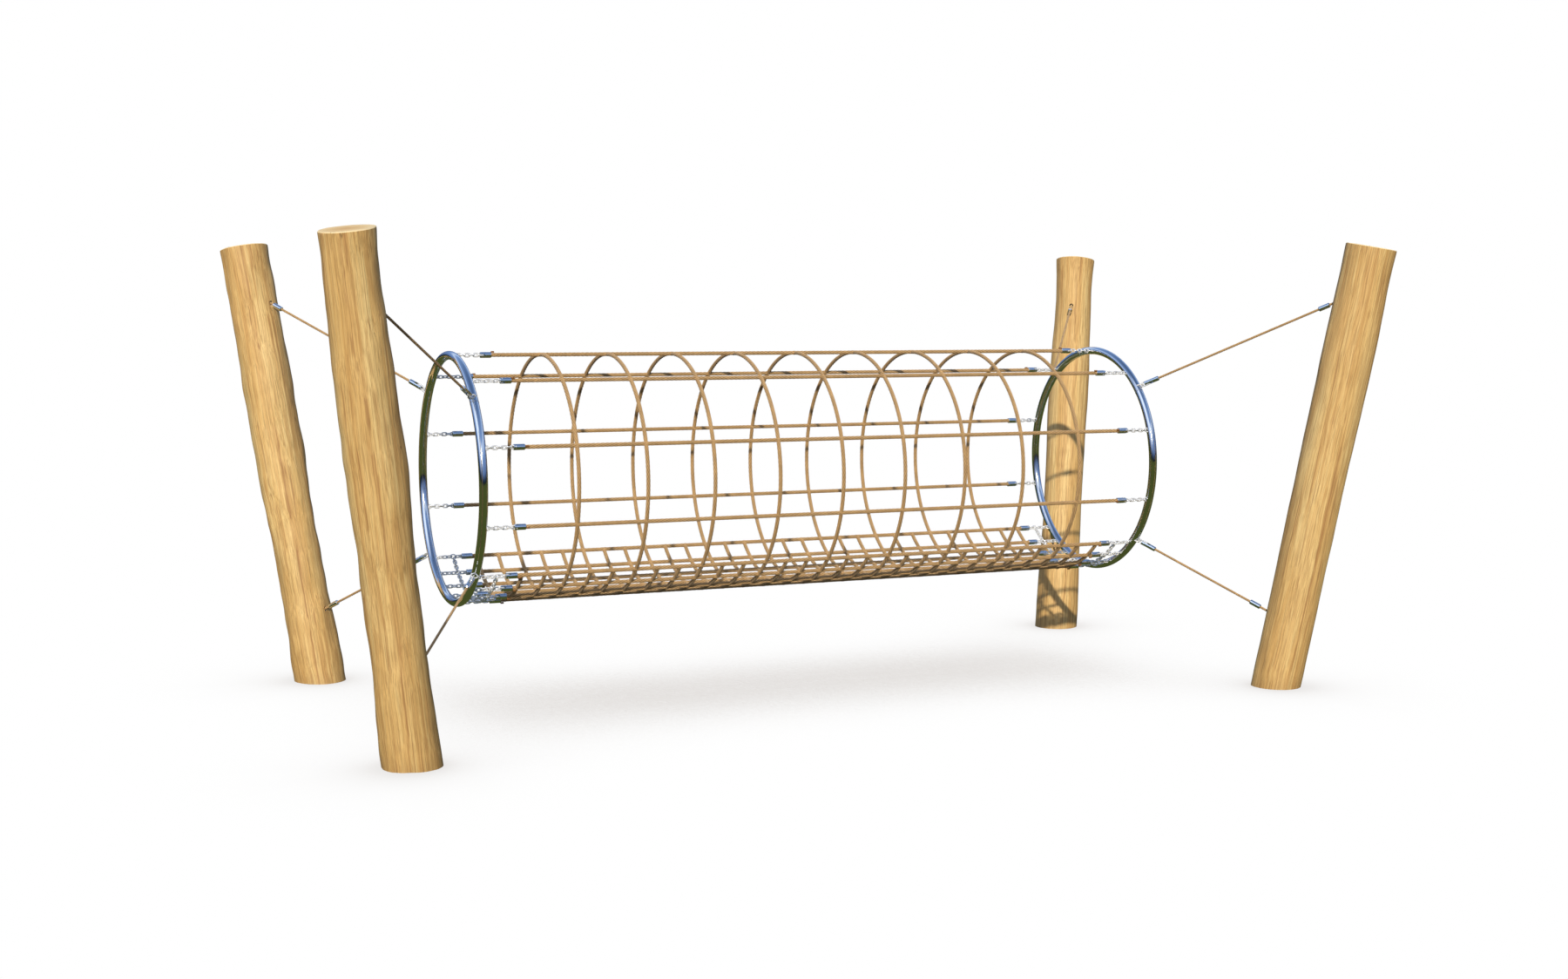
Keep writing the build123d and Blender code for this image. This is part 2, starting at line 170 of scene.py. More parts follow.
HOOPS = sorted(n for n in frame["nodes"] if n.startswith("hoop_rope_"))
HOOP_CENTRE, HOOP_HALF = centre_and_half(HOOPS[0])
AXIS_Z = HOOP_CENTRE.z
NET_ROPE_R = HOOP_HALF.x
NET_RADIUS = HOOP_HALF.z - NET_ROPE_R


def angles_of(points):
    """Angles of points round the tunnel's axis, measured up from the far side, below +90."""
    turn = np.arctan2(points[:, 2] - AXIS_Z, points[:, 1])
    return np.where(turn > math.pi / 2 + 0.01, turn - 2 * math.pi, turn)


def on_net(x, angle):
    """The point of the net at one place along the tunnel and one angle round it."""
    return Vector((x, NET_RADIUS * math.cos(angle), AXIS_Z + NET_RADIUS * math.sin(angle)))


# ---------------------------------------------------------------- meshes
def new_object(name, vertices, faces, smooth=True):
    """A mesh object with the given points and faces, in the scene."""
    mesh = bpy.data.meshes.new(name)
    mesh.from_pydata([tuple(v) for v in vertices], [], faces)
    mesh.validate()
    mesh.update()
    if smooth:
        mesh.polygons.foreach_set("use_smooth", [True] * len(mesh.polygons))
    made = bpy.data.objects.new(name, mesh)
    bpy.context.scene.collection.objects.link(made)
    return made


def float_attribute(obj, name, values):
    """A number for each vertex, which a material can read."""
    layer = obj.data.attributes.new(name, "FLOAT", "POINT")
    layer.data.foreach_set("value", np.asarray(values, dtype=np.float32))


def vector_attribute(obj, name, values):
    """A vector for each vertex, which a material can read."""
    layer = obj.data.attributes.new(name, "FLOAT_VECTOR", "POINT")
    layer.data.foreach_set("vector", np.asarray(values, dtype=np.float32).ravel())


def strand_profile():
    """(angle, share of the radius) round one section: six strands and their grooves."""
    points = []
    for strand in range(STRANDS):
        for k in range(POINTS_PER_STRAND):
            share = k / POINTS_PER_STRAND
            crest = math.sin(math.pi * share) ** CREST_ROUNDING
            points.append(((strand + share) * 2 * math.pi / STRANDS, GROOVE + (1 - GROOVE) * crest))
    return np.array(points)


PROFILE = strand_profile()


def rope(name, node, body, centres, sides, ups, radius, closed, knots=()):
    """A laid rope along the given centres. sides and ups span each section; knots are lengths."""
    centres, sides, ups = (np.asarray(v, dtype=float) for v in (centres, sides, ups))
    steps = np.linalg.norm(np.diff(centres, axis=0), axis=1)
    lengths = np.r_[0, np.cumsum(steps)]
    total = lengths[-1] + (np.linalg.norm(centres[0] - centres[-1]) if closed else 0)
    turns = total / (LAY * 2 * radius)
    turns = max(1, round(turns)) if closed else turns
    twist = 2 * math.pi * turns * lengths / total
    swell = np.ones(len(centres))
    for knot in knots:
        away = np.abs(lengths - knot)
        away = np.minimum(away, total - away) if closed else away
        swell += KNOT_SWELL * np.exp(-((away / (KNOT_LENGTH * radius)) ** 2))
    turn = PROFILE[:, 0][None] + twist[:, None]
    reach = radius * PROFILE[:, 1][None] * swell[:, None]
    section = (
        np.cos(turn)[..., None] * sides[:, None] + np.sin(turn)[..., None] * ups[:, None]
    ) * reach[..., None]
    rings, around = len(centres), len(PROFILE)
    vertices = (centres[:, None] + section).reshape(-1, 3)
    faces = []
    for i in range(rings if closed else rings - 1):
        here, there = i * around, ((i + 1) % rings) * around
        for k in range(around):
            after = (k + 1) % around
            faces.append((here + k, here + after, there + after, there + k))
    if not closed:
        faces.append(tuple(range(around))[::-1])
        faces.append(tuple((rings - 1) * around + k for k in range(around)))
    made = new_object(name, vertices, faces)
    float_attribute(made, "crest", np.tile((PROFILE[:, 1] - GROOVE) / (1 - GROOVE), rings))
    strand = np.tile(np.arange(around) / POINTS_PER_STRAND, rings)
    along = np.repeat(lengths / (2 * radius), around)
    lie = np.stack([np.sin(strand * math.pi / 3), np.cos(strand * math.pi / 3), along], axis=-1)
    vector_attribute(made, "lie", lie)
    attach(made, body)
    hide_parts(node)
    return made


def straight_rope(name, node, start, end, radius, knots=()):
    """A taut rope between two points."""
    start, end = Vector(start), Vector(end)
    along = (end - start).normalized()
    side = along.cross(Vector((0, 0, 1))).normalized()
    up = side.cross(along)
    count = max(2, round((end - start).length / (ROPE_STEP * 2 * radius)))
    centres = [start.lerp(end, i / count) for i in range(count + 1)]
    return rope(
        name, node, BODY_OF[node], centres, [side] * len(centres), [up] * len(centres), radius, False, knots
    )


def round_rope(name, node, x, low, high, radius):
    """A rope round the net, from one angle to another, or all the way round."""
    closed = high - low > 2 * math.pi - 0.01
    count = round((high - low) * NET_RADIUS / (ROPE_STEP * 2 * radius))
    angles = [low + (high - low) * i / count for i in range(count if closed else count + 1)]
    centres = [on_net(x, a) for a in angles]
    ups = [Vector((0, math.cos(a), math.sin(a))) for a in angles]
    sides = [Vector((1, 0, 0))] * len(angles)
    return rope(name, node, BODY_OF[node], centres, ups, sides, radius, closed)


# ---------------------------------------------------------------- materials
class Nodes:
    """A node tree, with short calls to build it."""

    def __init__(self, tree):
        self.tree = tree

    def add(self, kind, links=None, **settings):
        """A node; settings set its properties, links its inputs by name or number."""
        made = self.tree.nodes.new(kind)
        for key, value in settings.items():
            setattr(made, key, value)
        for key, value in (links or {}).items():
            if isinstance(value, bpy.types.NodeSocket):
                self.tree.links.new(value, made.inputs[key])
            else:
                made.inputs[key].default_value = value
        return made

    def noise(self, vector, scale, detail=4.0, rough=0.55, distortion=0.0):
        """Noise between 0 and 1, read at a vector."""
        links = {
            "Vector": vector,
            "Scale": scale,
            "Detail": detail,
            "Roughness": rough,
            "Distortion": distortion,
        }
        return self.add("ShaderNodeTexNoise", links).outputs["Fac"]

    def shiver(self, vector, scale, reach):
        """A small vector that wanders from place to place, to bend a grain pattern."""
        links = {"Vector": vector, "Scale": scale, "Detail": 2.0}
        colour = self.add("ShaderNodeTexNoise", links).outputs["Color"]
        centred = self.vectors("SUBTRACT", colour, (0.5, 0.5, 0.5))
        return self.vectors("MULTIPLY", centred, (reach * 2, reach * 2, 0.0))

    def stretch(self, vector, scale):
        """A vector with its parts scaled."""
        links = {"Vector": vector, "Scale": scale}
        return self.add("ShaderNodeMapping", links).outputs["Vector"]

    def ramp(self, fac, stops):
        """A colour ramp; stops are (place, colour)."""
        made = self.add("ShaderNodeValToRGB", {"Fac": fac})
        band = made.color_ramp
        while len(band.elements) < len(stops):
            band.elements.new(0.5)
        for element, (place, colour) in zip(band.elements, stops):
            element.position = place
            element.color = (*colour, 1) if len(colour) == 3 else colour
        return made.outputs["Color"]

    def mix(self, fac, first, second):
        """The first colour, or the second where fac is 1."""
        made = self.add("ShaderNodeMix", data_type="RGBA")
        for number, value in ((0, fac), (6, first), (7, second)):
            if isinstance(value, bpy.types.NodeSocket):
                self.tree.links.new(value, made.inputs[number])
            else:
                made.inputs[number].default_value = value if number == 0 else (*value[:3], 1)
        return made.outputs[2]

    def maths(self, kind, *values):
        """A sum on numbers."""
        links = dict(enumerate(values))
        return self.add("ShaderNodeMath", links, operation=kind).outputs[0]

    def vectors(self, kind, *values):
        """A sum on vectors, where the result is a vector."""
        links = dict(enumerate(values))
        return self.add("ShaderNodeVectorMath", links, operation=kind).outputs[0]

    def span(self, value, low, high, out_low, out_high):
        """A value taken from one range to another, and held at its ends."""
        links = {1: low, 2: high, 3: out_low, 4: out_high, "Value": value}
        return self.add("ShaderNodeMapRange", links).outputs[0]

    def attribute(self, name, output="Fac"):
        """What a mesh carries at each point under a name."""
        return self.add("ShaderNodeAttribute", attribute_name=name).outputs[output]

    def place(self):
        """The place on the object itself."""
        return self.add("ShaderNodeTexCoord").outputs["Object"]


class Shader(Nodes):
    """A node material with a Principled shader."""

    def __init__(self, name, **values):
        self.material = bpy.data.materials.new(name)
        self.material.use_nodes = True
        super().__init__(self.material.node_tree)
        self.surface = self.tree.nodes["Principled BSDF"]
        for key, value in values.items():
            self.surface.inputs[key.replace("_", " ")].default_value = value

    def finish(self, colour=None, rough=None, heights=()):
        """Link the colour, the roughness and a stack of bumps, each (height, strength, distance)."""
        if colour is not None:
            self.tree.links.new(colour, self.surface.inputs["Base Color"])
        if rough is not None:
            self.tree.links.new(rough, self.surface.inputs["Roughness"])
        normal = None
        for height, strength, distance in heights:
            links = {"Height": height, "Strength": strength, "Distance": distance}
            if normal is not None:
                links["Normal"] = normal
            normal = self.add("ShaderNodeBump", links).outputs["Normal"]
        if normal is not None:
            self.tree.links.new(normal, self.surface.inputs["Normal"])
        return self.material


def srgb(red, green, blue):
    """Linear colour of an 8-bit display colour."""
    return tuple(
        (c / 255 / 12.92) if c <= 10 else ((c / 255 + 0.055) / 1.055) ** 2.4 for c in (red, green, blue)
    )


def wood_side():
    """Debarked robinia: honey sapwood, brown streaks along the grain, fine fibres, small checks."""
    s = Shader("robinia_side", Roughness=0.6)
    grain = s.attribute("grain", "Vector")
    warped = s.vectors("ADD", grain, s.shiver(grain, 5.0, 0.006))
    broad = s.noise(s.stretch(warped, (9, 9, 0.9)), 1.0, 3.0, 0.5, 0.5)
    streak = s.noise(s.stretch(warped, (70, 70, 1.5)), 1.0, 4.0, 0.6, 0.5)
    line = s.noise(s.stretch(warped, (105, 105, 0.9)), 1.0, 2.0, 0.5, 0.3)
    fibre = s.noise(s.stretch(warped, (300, 300, 5)), 1.0, 3.0, 0.6, 0.2)
    fleck = s.noise(s.stretch(grain, (700, 700, 24)), 1.0, 2.0, 0.5)
    base = s.ramp(
        streak,
        [
            (0.28, srgb(190, 142, 86)),
            (0.42, srgb(228, 186, 120)),
            (0.54, srgb(241, 204, 136)),
            (0.70, srgb(253, 224, 158)),
        ],
    )
    toned = s.mix(s.span(broad, 0.40, 0.66, 0.0, 0.45), base, srgb(218, 172, 102))
    pale = s.mix(s.span(broad, 0.30, 0.44, 0.5, 0.0), toned, srgb(252, 224, 160))
    lined = s.mix(s.span(line, 0.60, 0.68, 0.0, 0.62), pale, srgb(164, 112, 66))
    fibred = s.mix(s.span(fibre, 0.36, 0.56, 0.55, 0.0), lined, srgb(160, 118, 70))
    flecked = s.mix(s.span(fleck, 0.34, 0.50, 0.28, 0.0), fibred, srgb(156, 114, 68))
    crack = s.noise(s.stretch(warped, (46, 46, 0.35)), 1.0, 1.0, 0.4, 0.1)
    thin = s.maths("ABSOLUTE", s.maths("SUBTRACT", crack, 0.5))
    where = s.span(s.noise(s.stretch(grain, (14, 14, 1.4)), 1.0, 1.0), 0.55, 0.60, 0.0, 1.0)
    check = s.maths("MULTIPLY", s.span(thin, 0.001, 0.005, 1.0, 0.0), where)
    checked = s.mix(s.maths("MULTIPLY", check, 0.7), flecked, srgb(104, 70, 40))
    foot = s.mix(s.span(s.attribute("height"), 0.0, 0.06, 0.22, 0.0), checked, srgb(150, 118, 80))
    rough = s.span(fibre, 0.3, 0.7, 0.72, 0.50)
    dent = s.maths("SUBTRACT", 1.0, check)
    bumps = [(streak, 0.4, 0.003), (fibre, 0.5, 0.0010), (fleck, 0.25, 0.0005), (dent, 0.6, 0.0015)]
    return s.finish(foot, rough, bumps)


def wood_end_grain():
    """Sawn end of a post: growth rings, a darker heart, radial drying checks and saw marks."""
    s = Shader("robinia_end", Roughness=0.75)
    grain = s.attribute("grain", "Vector")
    flat = s.stretch(grain, (1, 1, 0))
    wander = s.noise(flat, 22.0, 3.0)
    distance = s.add("ShaderNodeVectorMath", {0: flat}, operation="LENGTH").outputs["Value"]
    distance = s.maths("ADD", distance, s.span(wander, 0.0, 1.0, -0.006, 0.006))
    rings = s.maths("SINE", s.maths("MULTIPLY", distance, 2 * math.pi / GROWTH_RING))
    base = s.ramp(
        s.span(distance, 0.0, 0.1, 0.0, 1.0),
        [(0.0, srgb(226, 180, 118)), (0.62, srgb(247, 214, 156)), (0.9, srgb(255, 232, 184))],
    )
    ringed = s.mix(s.span(rings, 0.2, 1.0, 0.0, 0.28), base, srgb(206, 156, 98))
    pores = s.noise(flat, 900.0, 2.0)
    colour = s.mix(s.span(pores, 0.34, 0.42, 0.35, 0.0), ringed, srgb(168, 120, 72))
    parts = s.add("ShaderNodeSeparateXYZ", {0: flat}).outputs
    sway = s.span(s.noise(flat, 26.0, 3.0), 0.0, 1.0, -0.010, 0.010)
    slit = s.maths("ABSOLUTE", s.maths("ADD", parts["Y"], sway))
    slit = s.maths("ADD", slit, s.span(parts["X"], -0.08, 0.03, 0.0, 0.003))
    split = s.mix(s.span(slit, 0.0004, 0.0011, 0.85, 0.0), colour, srgb(110, 70, 36))
    saw = s.noise(s.stretch(grain, (30, 700, 1)), 1.0, 2.0)
    return s.finish(split, None, [(rings, 0.2, 0.0006), (saw, 0.25, 0.0006)])


def net_rope(name, light, groove_shade):
    """Tan polyester cover of a steel-core rope, with painted shade down in the grooves between strands."""
    s = Shader(name, Roughness=0.68)
    s.surface.inputs["Sheen Weight"].default_value = 0.25
    s.surface.inputs["Sheen Roughness"].default_value = 0.5
    lie = s.attribute("lie", "Vector")
    crest = s.attribute("crest")
    yarn = s.noise(s.stretch(lie, (9.0, 9.0, 2.0)), 1.0, 3.0, 0.6)
    wear = s.noise(s.place(), 26.0, 3.0)
    base = s.mix(s.span(yarn, 0.3, 0.7, 0.0, 1.0), light, tuple(c * 0.66 for c in light))
    worn = s.mix(s.span(wear, 0.42, 0.7, 0.0, 0.45), base, tuple(min(1, c * 1.22) for c in light))
    # painted shade: the rope turns dark brown down in the grooves between strands
    colour = s.mix(s.span(crest, 0.10, 0.72, 0.95, 0.0), worn, groove_shade)
    rough = s.span(yarn, 0.3, 0.7, 0.58, 0.8)
    return s.finish(colour, rough, [(yarn, 0.5, 0.0012)])


def cut_rope():
    """Heat-sealed rope end: brown, uneven and a little glossy."""
    s = Shader("cut_rope", Roughness=0.45)
    lumps = s.noise(s.place(), 420.0, 3.0)
    colour = s.ramp(lumps, [(0.3, srgb(84, 52, 24)), (0.7, srgb(176, 122, 66))])
    return s.finish(colour, s.span(lumps, 0.3, 0.7, 0.35, 0.7), [(lumps, 0.5, 0.0008)])


def steel(name, tint, low, high, scratch_scale, strength, metal=1.0):
    """Stainless steel, from mirror polish to a satin press finish, with fine scratches and smears."""
    s = Shader(name, Metallic=metal)
    place = s.place()
    scratch = s.noise(place, scratch_scale, 4.0, 0.6)
    smear = s.noise(place, 14.0, 3.0)
    colour = s.mix(s.span(smear, 0.35, 0.7, 0.0, 0.35), tint, tuple(c * 0.86 for c in tint))
    rough = s.span(scratch, 0.1, 0.9, low, high)
    return s.finish(colour, rough, [(scratch, strength, 0.0004)])


MATERIALS = {
    "polished_tube": steel("polished_tube", (0.80, 0.82, 0.86), 0.05, 0.12, 60.0, 0.02),
    "weld_steel": steel("weld_steel", (0.62, 0.62, 0.64), 0.28, 0.45, 900.0, 0.4),
    "chain_steel": steel("chain_steel", (0.95, 0.95, 0.96), 0.16, 0.30, 500.0, 0.08, 0.40),
    "swaged_fittings": steel("swaged_fittings", (0.78, 0.83, 0.88), 0.17, 0.30, 700.0, 0.12),
    "anchor_steel": steel("anchor_steel", (0.40, 0.41, 0.43), 0.30, 0.50, 600.0, 0.2),
    # the second colour is the painted shade in the rope's grooves
    "net_rope": net_rope("net_rope", srgb(212, 172, 118), srgb(48, 34, 22)),
    "cut_rope": cut_rope(),
}
WOOD_SIDE, WOOD_END = wood_side(), wood_end_grain()


# ---------------------------------------------------------------- ropes
def dress(piece, slot):
    """Give a piece the material that bears the slot's name."""
    piece.data.materials.clear()
    piece.data.materials.append(MATERIALS[slot])


SIDE_ROPES = [n for n in frame["nodes"] if n.endswith(("_rope_near", "_rope_far")) or n == "top_rope"]
HOOP_XS = {n: centre_and_half(n)[0].x for n in HOOPS}
CROSS_SPANS = clusters(node_points("floor_cross_ropes")[:, 0], NET_ROPE_R)
CROSS_XS = [(low + high) / 2 for low, high in CROSS_SPANS]
CROSS_ANGLES = angles_of(node_points("floor_cross_ropes"))
FLOOR_ANGLES = [
    (low + high) / 2 for low, high in clusters(angles_of(node_points("floor_ropes")), FLOOR_ROPE_GAP)
]
ROPE_LOW_X, ROPE_HIGH_X = (corner.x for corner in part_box("top_rope"))
SIDE_ANGLES = {}
for node in SIDE_ROPES:
    middle = centre_and_half(node)[0]
    SIDE_ANGLES[node] = math.atan2(middle.z - AXIS_Z, middle.y)


def long_rope(name, node, angle, xs):
    """A lengthwise net rope, with its knots where the ropes round the net pass through it."""
    knots = [x - ROPE_LOW_X for x in xs]
    piece = straight_rope(
        name, node, on_net(ROPE_LOW_X, angle), on_net(ROPE_HIGH_X, angle), NET_ROPE_R, knots
    )
    dress(piece, "net_rope")


for node in SIDE_ROPES:
    long_rope(f"laid_{node}", node, SIDE_ANGLES[node], HOOP_XS.values())
for number, angle in enumerate(FLOOR_ANGLES, start=1):
    long_rope(f"laid_floor_rope_{number}", "floor_ropes", angle, [*HOOP_XS.values(), *CROSS_XS])
for node, x in HOOP_XS.items():
    dress(round_rope(f"laid_{node}", node, x, HOOP_SEAM, HOOP_SEAM + 2 * math.pi, NET_ROPE_R), "net_rope")
for number, x in enumerate(CROSS_XS, start=1):
    low, high = CROSS_ANGLES.min() + CROSS_TRIM, CROSS_ANGLES.max() - CROSS_TRIM
    name = f"laid_floor_cross_rope_{number}"
    dress(round_rope(name, "floor_cross_ropes", x, low, high, NET_ROPE_R), "net_rope")


def rod_ends(node):
    """The two end centres and the radius of a straight round rod, from its CAD mesh."""
    points = node_points(node)
    middle = points.mean(axis=0)
    along = np.linalg.svd(points - middle, full_matrices=False)[2][0]
    reach = (points - middle) @ along
    ends = [points[np.abs(reach - limit) < 1e-4].mean(axis=0) for limit in (reach.min(), reach.max())]
    across = points - middle - reach[:, None] * along
    return Vector(ends[0]), Vector(ends[1]), np.linalg.norm(across, axis=1).max()


def taut_line(start, end, step):
    """Points read from the NURBS spline of a taut rope, which its middle keeps straight."""
    curve = bpy.data.curves.new("taut_line", "CURVE")
    curve.dimensions = "3D"
    spline = curve.splines.new("NURBS")
    spline.points.add(2)
    for point, share in zip(spline.points, (0, 0.5, 1)):
        point.co = (*start.lerp(end, share), 1)
    spline.order_u = 3
    spline.use_endpoint_u = True
    spline.resolution_u = round((end - start).length / step / 2)
    holder = bpy.data.objects.new("taut_line", curve)
    bpy.context.scene.collection.objects.link(holder)
    bpy.context.view_layer.update()
    mesh = bpy.data.meshes.new_from_object(holder)
    points = [v.co.copy() for v in mesh.vertices]
    bpy.data.objects.remove(holder)
    return points


def stay_rope(node):
    """A stay's rope, a taut laid rope from its jaw at the ring to its ball in the post."""
    start, end, radius = rod_ends(node)
    along = (end - start).normalized()
    side = along.cross(Vector((0, 0, 1))).normalized()
    centres = taut_line(start, end, ROPE_STEP * 2 * radius)
    sides, ups = [side] * len(centres), [side.cross(along)] * len(centres)
    piece = rope(f"laid_{node}", node, BODY_OF[node], centres, sides, ups, radius, False)
    dress(piece, "net_rope")


for node in [n for n in frame["nodes"] if n.startswith("stay_rope_")]:
    stay_rope(node)


# ---------------------------------------------------------------- posts
def trunk_line(node):
    """Foot and head of a trunk's axis, and its unit direction, from its sawn top."""
    mesh = frame["nodes"][node].data
    caps = [p for p in mesh.polygons if p.normal.z > 0.95]
    area = sum(p.area for p in caps)
    up = sum((p.normal * p.area for p in caps), Vector()).normalized()
    head = sum((p.center * p.area for p in caps), Vector()) / area
    return head - up * (head.z / up.z), head, up


def trunk_radii(node, foot, up, across, heights):
    """Radius of the CAD trunk at each height along its axis, past any bore."""
    mesh = frame["nodes"][node].data
    tree = BVHTree.FromPolygons([v.co for v in mesh.vertices], [p.vertices for p in mesh.polygons])
    found = []
    for height in heights:
        reach = []
        for k in range(PROBES):
            out = Quaternion(up, 2 * math.pi * k / PROBES) @ across
            hit = tree.ray_cast(foot + up * height + out * PROBE_START, -out)
            if hit[0] is not None:
                reach.append(PROBE_START - hit[3])
        found.append(sorted(reach)[len(reach) // 2])
    return found


def trunk(node, seed):
    """A post's own mesh: wavy debarked sides, a sawn top and the bores of its two stays."""
    foot, head, up = trunk_line(node)
    length = (head - foot).length
    across = up.orthogonal().normalized()
    depth = up.cross(across)
    probes = np.linspace(PROBE_LOW, length - PROBE_TOP, PROBE_ROWS)
    radii = trunk_radii(node, foot, up, across, probes)
    shift = Vector((seed * 3.7, seed * 1.9, seed * 5.3))
    vertices, faces = [], []
    for row in range(POST_ROWS + 1):
        share = row / POST_ROWS
        for column in range(POST_COLUMNS):
            turn = 2 * math.pi * column / POST_COLUMNS
            out = across * math.cos(turn) + depth * math.sin(turn)
            start = -out.z * radii[0] / up.z
            height = start + (length - TOP_CHAMFER - start) * share
            flat = Vector((math.cos(turn), math.sin(turn), 0))
            spot = flat * 0.8 + shift
            wave = noise.noise(Vector((spot.x, spot.y, height * 3.6 + spot.z)))
            lump = noise.noise(Vector((spot.x * 2.4, spot.y * 2.4, height * 11 + spot.z)))
            flute = noise.noise(Vector((flat.x * 3.4 + seed, flat.y * 3.4, height * 1.3)))
            radius = float(np.interp(height, probes, radii))
            radius += POST_UNEVEN[node] * (POST_WAVE * wave + POST_LUMP * lump) + POST_FLUTE * flute
            vertices.append((radius * math.cos(turn), radius * math.sin(turn), height))
    rim = vertices[-POST_COLUMNS:]
    for inset in CAP_RINGS:
        for x, y, _ in rim:
            share = 1 - inset
            height = length if inset >= CAP_RINGS[0] else length - TOP_CHAMFER
            rough = noise.noise(Vector((x * share * 22 + seed, y * share * 22, seed)))
            vertices.append((x * share, y * share, height + SAW_ROUGHNESS * rough))
    rows = len(vertices) // POST_COLUMNS
    for row in range(rows - 1):
        for column in range(POST_COLUMNS):
            after = (column + 1) % POST_COLUMNS
            here, there = row * POST_COLUMNS, (row + 1) * POST_COLUMNS
            faces.append((here + column, here + after, there + after, there + column))
    faces.append(tuple((rows - 1) * POST_COLUMNS + k for k in range(POST_COLUMNS)))
    faces.append(tuple(range(POST_COLUMNS))[::-1])
    made = new_object(f"trunk_{node}", vertices, faces, smooth=False)
    made.data.materials.append(WOOD_SIDE)
    made.data.materials.append(WOOD_END)
    sides = POST_ROWS * POST_COLUMNS
    for polygon in made.data.polygons:
        polygon.material_index = 0 if polygon.index < sides else 1
    made.matrix_world = Matrix.Translation(foot) @ Matrix((across, depth, up)).transposed().to_4x4()
    bore(made, node)
    settle(made)
    made.data.polygons.foreach_set("use_smooth", [True] * len(made.data.polygons))
    made.data.set_sharp_from_angle(angle=WOOD_CREASE)
    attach(made, BODY_OF[node])
    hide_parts(node)


def settle(post):
    """Keep each point's place along the grain as attributes, and put the mesh in the row frame."""
    points = np.zeros(len(post.data.vertices) * 3, dtype=np.float32)
    post.data.vertices.foreach_get("co", points)
    vector_attribute(post, "grain", points + np.float32(0))
    post.data.transform(post.matrix_world)
    post.matrix_world = Matrix.Identity(4)
    post.data.vertices.foreach_get("co", points)
    float_attribute(post, "height", points[2::3])


def bore(post, node):
    """Cut the bores for the two stay sockets of a post into its mesh."""
    name = node.removeprefix("post_")
    sockets = node_points(f"stay_sockets_{name}")
    for level in ("upper", "lower"):
        start, end, _ = rod_ends(f"stay_rope_{name}_{level}")
        ring, ball = (start, end) if abs(start.x) < abs(end.x) else (end, start)
        along = (ball - ring).normalized()
        near = sockets[np.linalg.norm(sockets - np.array(ball), axis=1) < SOCKET_REACH]
        reach = (near - np.array(ball)) @ np.array(along)
        radius = np.linalg.norm(near - np.array(ball) - reach[:, None] * np.array(along), axis=1).max()
        low, high = reach.min() - BORE_LEAD, reach.max()
        bpy.ops.mesh.primitive_cylinder_add(vertices=BORE_SIDES, radius=radius, depth=high - low)
        drill = bpy.context.object
        middle = Matrix.Translation(ball + along * (low + high) / 2)
        drill.matrix_world = middle @ along.to_track_quat("Z", "Y").to_matrix().to_4x4()
        drill.data.materials.append(WOOD_SIDE)
        drill.data.materials.append(WOOD_END)
        drill.data.polygons.foreach_set("material_index", [1] * len(drill.data.polygons))
        cut = post.modifiers.new("bore", "BOOLEAN")
        cut.operation, cut.object, cut.solver = "DIFFERENCE", drill, "EXACT"
        bpy.context.view_layer.update()
        shaped = post.evaluated_get(bpy.context.evaluated_depsgraph_get())
        mesh = bpy.data.meshes.new_from_object(shaped)
        post.modifiers.clear()
        post.data = mesh
        bpy.data.objects.remove(drill)


POSTS = sorted(n for n in frame["nodes"] if n.startswith("post_"))
for number, node in enumerate(POSTS, start=1):
    trunk(node, SEED + number)

# ---------------------------------------------------------------- CAD nodes that stay
SLOT_OF = {part["node"]: part["material_slot"] for part in RECORD["subparts"]}
for node, shown in frame["nodes"].items():
    if shown.hide_render:
        continue
    shown.data.materials.clear()
    shown.data.materials.append(MATERIALS[SLOT_OF[node]])

# ---------------------------------------------------------------- floor, sky and lights
def floor_material():
    """Pale glowing floor with painted soft contact shadows. Steel mirrors it, and light comes off it, as a
    lawn.
    """
    s = Shader("pale_floor", Roughness=1.0)
    s.surface.inputs["Base Color"].default_value = (*FLOOR_BOUNCE, 1)
    # painted shadow: the floor's glow darkens where little open sky is over it
    open_sky = s.add("ShaderNodeAmbientOcclusion", {"Distance": FLOOR_REACH}, samples=24).outputs["AO"]
    strong = s.ramp(open_sky, FLOOR_SHADES)
    parts = s.add("ShaderNodeSeparateXYZ", {0: s.place()}).outputs
    # painted shadow, at full strength under the tunnel and fainter away from it
    along = s.span(s.maths("ABSOLUTE", parts["X"]), ROPE_HIGH_X, ROPE_HIGH_X + FLOOR_FADE, 1.0, 0.0)
    across = s.span(s.maths("ABSOLUTE", parts["Y"]), NET_RADIUS, NET_RADIUS + FLOOR_FADE, 1.0, 0.0)
    under = s.maths("MULTIPLY", along, across)
    shade = s.mix(under, s.mix(FLOOR_FAINT, strong, (1, 1, 1)), strong)
    pale = s.add("ShaderNodeEmission", {"Color": shade, "Strength": 1.0}).outputs[0]
    lawn = s.add("ShaderNodeEmission", {"Color": (*FLOOR_MIRRORED, 1), "Strength": 1.0}).outputs[0]
    path = s.add("ShaderNodeLightPath").outputs
    links = {0: path["Is Glossy Ray"], 1: s.surface.outputs[0], 2: lawn}
    others = s.add("ShaderNodeMixShader", links).outputs[0]
    links = {0: path["Is Camera Ray"], 1: others, 2: pale}
    both = s.add("ShaderNodeMixShader", links).outputs[0]
    s.tree.links.new(both, s.tree.nodes["Material Output"].inputs["Surface"])
    return s.material


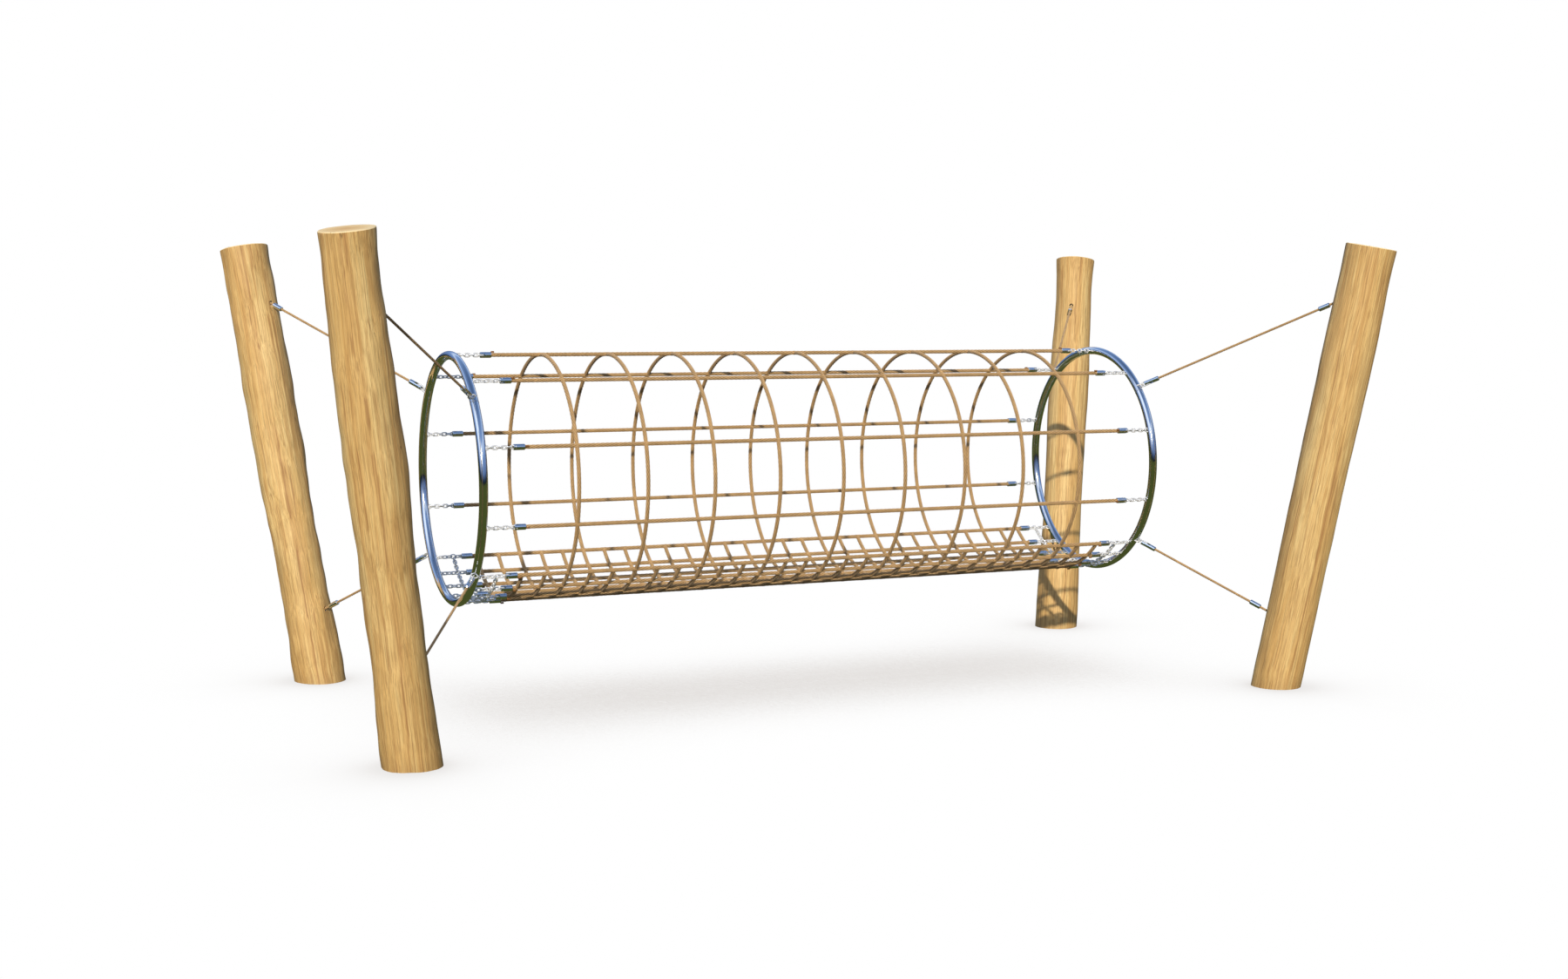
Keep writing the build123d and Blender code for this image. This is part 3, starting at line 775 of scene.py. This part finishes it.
def sky():
    """White behind the object; what the steel mirrors is a blue sky, a pale horizon and a lawn."""
    world = bpy.data.worlds.new("studio")
    bpy.context.scene.world = world
    world.use_nodes = True
    s = Nodes(world.node_tree)
    s.tree.nodes.clear()
    way = s.add("ShaderNodeTexCoord").outputs["Generated"]
    split = s.add("ShaderNodeSeparateXYZ", {0: way})
    rise = s.span(split.outputs["Z"], -1.0, 1.0, 0.0, 1.0)
    mirrored = s.ramp(rise, SKY_STOPS)
    turned = s.add("ShaderNodeVectorMath", {0: way, 1: BRIGHT_SIDE}, operation="DOT_PRODUCT").outputs["Value"]
    mirrored = s.mix(s.span(turned, 0.84, 0.985, 0.0, 1.0), mirrored, GLOW_COLOUR)
    fill = s.ramp(rise, FILL_STOPS)
    fill = s.mix(s.span(turned, -0.5, 0.7, 0.85, 0.0), fill, FILL_SHADY)
    path = s.add("ShaderNodeLightPath").outputs
    lit = s.mix(path["Is Glossy Ray"], fill, mirrored)
    shown = s.mix(path["Is Camera Ray"], lit, (1, 1, 1))
    background = s.add("ShaderNodeBackground", {"Color": shown, "Strength": 1.0})
    s.add("ShaderNodeOutputWorld", {"Surface": background.outputs[0]})


def sun(name, travel, strength, spread, colour):
    """A sun whose light travels one way, with its spread in degrees."""
    light = bpy.data.lights.new(name, "SUN")
    light.energy, light.angle, light.color = strength, math.radians(spread), colour
    made = bpy.data.objects.new(name, light)
    made.rotation_mode = "QUATERNION"
    made.rotation_quaternion = Vector(travel).to_track_quat("-Z", "Y")
    bpy.context.scene.collection.objects.link(made)


corners = [(FLOOR_HALF * x, FLOOR_HALF * y, 0) for x, y in ((-1, -1), (1, -1), (1, 1), (-1, 1))]
floor = new_object("floor", corners, [(0, 1, 2, 3)], smooth=False)
floor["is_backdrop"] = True
floor.data.materials.append(floor_material())
sky()
sun("key", KEY_TRAVEL, KEY_STRENGTH, KEY_SPREAD, KEY_COLOUR)

# ---------------------------------------------------------------- camera
lens = bpy.data.cameras.new("camera")
lens.sensor_width = CAMERA_SENSOR
lens.lens = CAMERA_LENS
lens.clip_end = CAMERA_CLIP
camera = bpy.data.objects.new("camera", lens)
camera.location = CAMERA_PLACE
camera.rotation_euler = (math.radians(90 + CAMERA_PITCH), 0, -math.radians(CAMERA_AZIMUTH))
bpy.context.scene.collection.objects.link(camera)
bpy.context.scene.camera = camera
bpy.context.scene.view_settings.view_transform = "Standard"

low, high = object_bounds()
